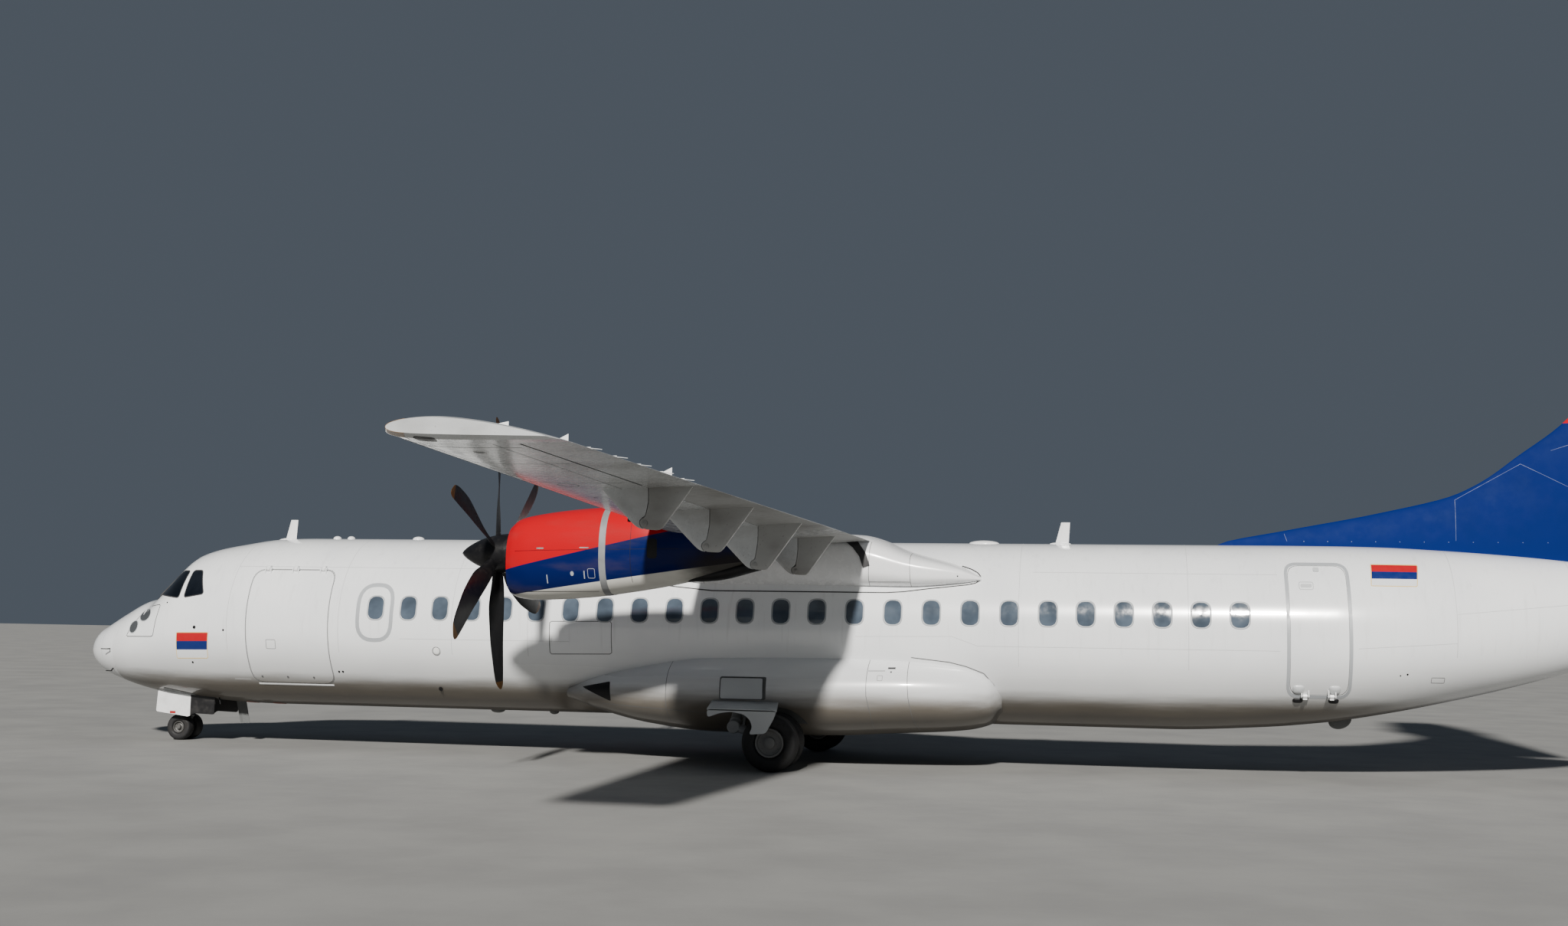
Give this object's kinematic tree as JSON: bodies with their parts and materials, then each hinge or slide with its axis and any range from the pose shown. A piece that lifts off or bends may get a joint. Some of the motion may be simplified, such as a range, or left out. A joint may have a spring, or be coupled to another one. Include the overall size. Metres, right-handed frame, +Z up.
{
  "type": "twin turboprop regional airliner",
  "caption": "High-wing regional airliner with turboprop engines under the wing, a T-shaped tail, side-mounted wheel fairings and opening doors, parked on its wheels.",
  "frame": {"origin": "on the ground under the centreline, halfway between the tip of the nose and the end of the tail", "axes": "+X aft towards the tail, +Y to starboard, +Z up"},
  "size_m": [27.166, 27.05, 7.645],
  "materials": {
    "white_paint": "gloss white paint, greyed by dirt underneath",
    "radome_paint": "gloss white paint over a plastic nose",
    "navy_paint": "gloss navy paint",
    "red_paint": "gloss red paint",
    "nacelle_paint": "gloss paint, red above navy above white",
    "gear_paint": "satin grey paint with grease",
    "blade_black": "satin black with yellow and black tips",
    "engine_metal": "dull bare metal",
    "wheel_metal": "grey painted wheel, dusty",
    "tyre": "worn black rubber",
    "dark_glass": "dark tinted glass between white posts"
  },
  "bodies": {
    "root": {"radome": "radome_paint", "nose_section": "white_paint", "flight_deck_glazing": "dark_glass", "forward_fuselage": "white_paint", "centre_fuselage": "white_paint", "rear_fuselage": "white_paint", "tail_cone": "white_paint", "service_door": "white_paint", "emergency_exit_left": "white_paint", "emergency_exit_right": "white_paint", "wing_centre": "white_paint", "wing_left": "white_paint", "wing_right": "white_paint", "wing_tip_left": "white_paint", "wing_tip_right": "white_paint", "wing_root_fairing": "white_paint", "belly_fairing": "white_paint", "gear_sponson_left": "white_paint", "gear_sponson_right": "white_paint", "main_gear_leg_left": "gear_paint", "main_gear_leg_right": "gear_paint", "main_gear_door_left": "white_paint", "main_gear_door_right": "white_paint", "nose_gear_leg": "gear_paint", "nose_gear_door_left": "white_paint", "nose_gear_door_right": "white_paint", "nacelle_left": "nacelle_paint", "nacelle_right": "nacelle_paint", "engine_left": "engine_metal", "engine_right": "engine_metal", "fin": "navy_paint", "tailplane": "red_paint", "aerial_roof_front": "white_paint", "aerial_roof_rear": "white_paint", "aerial_belly": "white_paint"},
    "propeller_left": {"propeller_left": "blade_black"},
    "propeller_right": {"propeller_right": "blade_black"},
    "nose_steering": {"nose_gear_fork": "gear_paint"},
    "nose_wheels": {"nose_wheel_hub": "wheel_metal", "nose_wheel_tyre_port": "tyre", "nose_wheel_tyre_starboard": "tyre"},
    "main_wheels_left": {"main_wheel_left_hub": "wheel_metal", "main_wheel_left_tyre_port": "tyre", "main_wheel_left_tyre_starboard": "tyre"},
    "main_wheels_right": {"main_wheel_right_hub": "wheel_metal", "main_wheel_right_tyre_port": "tyre", "main_wheel_right_tyre_starboard": "tyre"},
    "rudder": {"rudder": "navy_paint"},
    "elevator_left": {"elevator_left": "red_paint"},
    "elevator_right": {"elevator_right": "red_paint"},
    "aileron_left": {"aileron_left": "white_paint"},
    "aileron_right": {"aileron_right": "white_paint"},
    "flap_inboard_left": {"flap_inboard_left": "white_paint"},
    "flap_inboard_right": {"flap_inboard_right": "white_paint"},
    "flap_outboard_left": {"flap_outboard_left": "white_paint"},
    "flap_outboard_right": {"flap_outboard_right": "white_paint"},
    "passenger_door": {"passenger_door": "white_paint"},
    "cargo_door": {"cargo_door": "white_paint"}
  },
  "joints": [
    {"name": "propeller_left_spin", "type": "hinge", "parent": "root", "child": "propeller_left", "pos_m": [-4.513, -4.05, 3.15], "axis": [1, 0, 0], "continuous": true},
    {"name": "propeller_right_spin", "type": "hinge", "parent": "root", "child": "propeller_right", "pos_m": [-4.513, 4.05, 3.15], "axis": [1, 0, 0], "continuous": true},
    {"name": "nose_steer", "type": "hinge", "parent": "root", "child": "nose_steering", "pos_m": [-11.783, 0, 0.7], "axis": [0, 0, 1], "range_deg": [-60, 60]},
    {"name": "nose_wheel_roll", "type": "hinge", "parent": "nose_steering", "child": "nose_wheels", "pos_m": [-11.783, 0, 0.225], "axis": [0, 1, 0], "continuous": true},
    {"name": "main_wheel_left_roll", "type": "hinge", "parent": "root", "child": "main_wheels_left", "pos_m": [-0.803, -2.05, 0.432], "axis": [0, 1, 0], "continuous": true},
    {"name": "main_wheel_right_roll", "type": "hinge", "parent": "root", "child": "main_wheels_right", "pos_m": [-0.803, 2.05, 0.432], "axis": [0, 1, 0], "continuous": true},
    {"name": "rudder_turn", "type": "hinge", "parent": "root", "child": "rudder", "pos_m": [11.767, 0, 3.3], "axis": [0.2497, 0, 0.9683], "range_deg": [-27, 27]},
    {"name": "elevator_left_turn", "type": "hinge", "parent": "root", "child": "elevator_left", "pos_m": [12.87342, -0.3, 7.4], "axis": [0.0232, 0.9997, 0], "range_deg": [-23, 13]},
    {"name": "elevator_right_turn", "type": "hinge", "parent": "root", "child": "elevator_right", "pos_m": [12.87342, 0.3, 7.4], "axis": [-0.0232, 0.9997, 0], "range_deg": [-23, 13]},
    {"name": "aileron_left_turn", "type": "hinge", "parent": "root", "child": "aileron_left", "pos_m": [-0.6211, -9.98, 3.73298], "axis": [0.0629, 0.9977, -0.0268], "range_deg": [-14, 14]},
    {"name": "aileron_right_turn", "type": "hinge", "parent": "root", "child": "aileron_right", "pos_m": [-0.6211, 9.98, 3.73298], "axis": [-0.0629, 0.9977, 0.0268], "range_deg": [-14, 14]},
    {"name": "flap_inboard_left_lower", "type": "hinge", "parent": "root", "child": "flap_inboard_left", "pos_m": [-0.29033, -1.56, 2.97677], "axis": [0, 1, 0], "range_deg": [0, 35]},
    {"name": "flap_inboard_right_lower", "type": "hinge", "parent": "root", "child": "flap_inboard_right", "pos_m": [-0.29033, 1.56, 2.97677], "axis": [0, 1, 0], "range_deg": [0, 35]},
    {"name": "flap_outboard_left_lower", "type": "hinge", "parent": "root", "child": "flap_outboard_left", "pos_m": [-0.31275, -4.6, 2.91442], "axis": [0.0617, 0.9959, -0.0663], "range_deg": [0, 35]},
    {"name": "flap_outboard_right_lower", "type": "hinge", "parent": "root", "child": "flap_outboard_right", "pos_m": [-0.31275, 4.6, 2.91442], "axis": [-0.0617, 0.9959, 0.0663], "range_deg": [0, 35]},
    {"name": "passenger_door_open", "type": "hinge", "parent": "root", "child": "passenger_door", "pos_m": [6.987, -1.14, 1.273], "axis": [1, 0, 0], "range_deg": [0, 125]},
    {"name": "cargo_door_open", "type": "hinge", "parent": "root", "child": "cargo_door", "pos_m": [-9.683, -1.165, 2.967], "axis": [-1, 0, 0], "range_deg": [0, 110]}
  ],
  "couplings": [
    {"joint": "elevator_right_turn", "follows": "elevator_left_turn", "ratio": 1},
    {"joint": "aileron_right_turn", "follows": "aileron_left_turn", "ratio": -1},
    {"joint": "flap_inboard_right_lower", "follows": "flap_inboard_left_lower", "ratio": 1},
    {"joint": "flap_outboard_left_lower", "follows": "flap_inboard_left_lower", "ratio": 1},
    {"joint": "flap_outboard_right_lower", "follows": "flap_inboard_left_lower", "ratio": 1}
  ]
}
